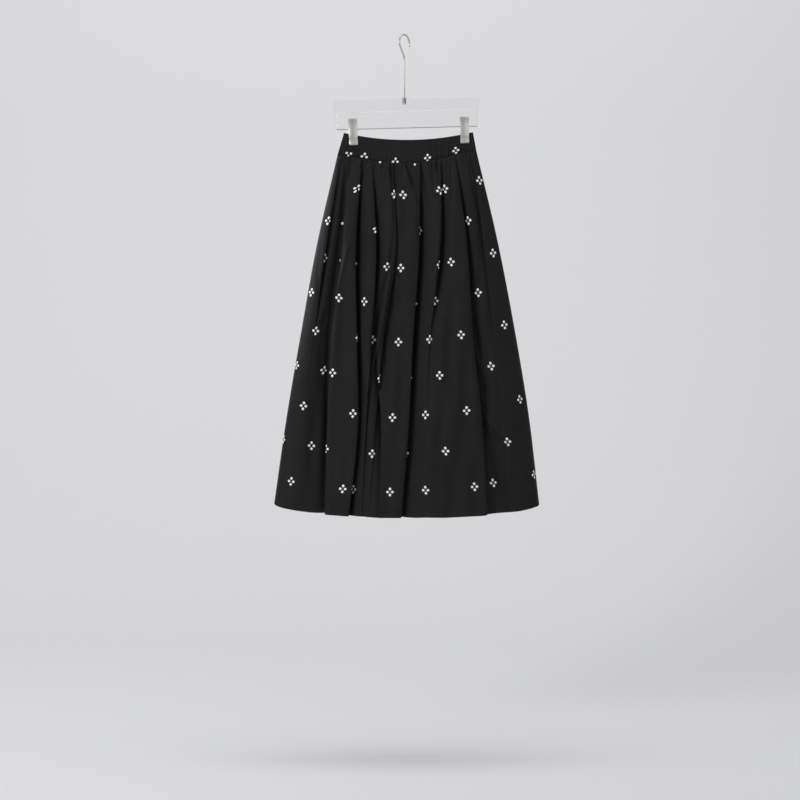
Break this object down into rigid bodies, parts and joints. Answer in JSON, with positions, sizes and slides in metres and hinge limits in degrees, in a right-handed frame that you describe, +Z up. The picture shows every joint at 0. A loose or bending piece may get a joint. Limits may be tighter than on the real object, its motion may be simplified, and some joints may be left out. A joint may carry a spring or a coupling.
{
  "type": "a-line skirt on a clip hanger",
  "caption": "Long gathered a-line skirt with an elastic waistband, held at the waist by two sprung metal clips on a clear hanger with a wire hook.",
  "frame": {"origin": "underside of the hook's crown, where the hanger rests on a rail", "axes": "+Z up, -Y out of the skirt's front, +X to the right as the front is looked at, along the hanger"},
  "size_m": [0.5786, 0.1805, 1.0505],
  "materials": {
    "black_cotton": "plain-woven cotton poplin, soft sheen",
    "white_embroidery": "satin-stitched rayon thread",
    "clear_acrylic": "polished, clear",
    "nickel_steel": "satin nickel plate on steel"
  },
  "bodies": {
    "root": {"skirt_front": "black_cotton", "skirt_back": "black_cotton", "waistband_front": "black_cotton", "waistband_back": "black_cotton", "hanger_bar": "clear_acrylic", "hook_wire": "nickel_steel", "hook_ferrule": "nickel_steel", "clip_left_front": "nickel_steel", "clip_left_back": "nickel_steel", "clip_left_pin": "nickel_steel", "clip_left_spring": "nickel_steel", "clip_right_front": "nickel_steel", "clip_right_back": "nickel_steel", "clip_right_pin": "nickel_steel", "clip_right_spring": "nickel_steel"}
  },
  "joints": []
}
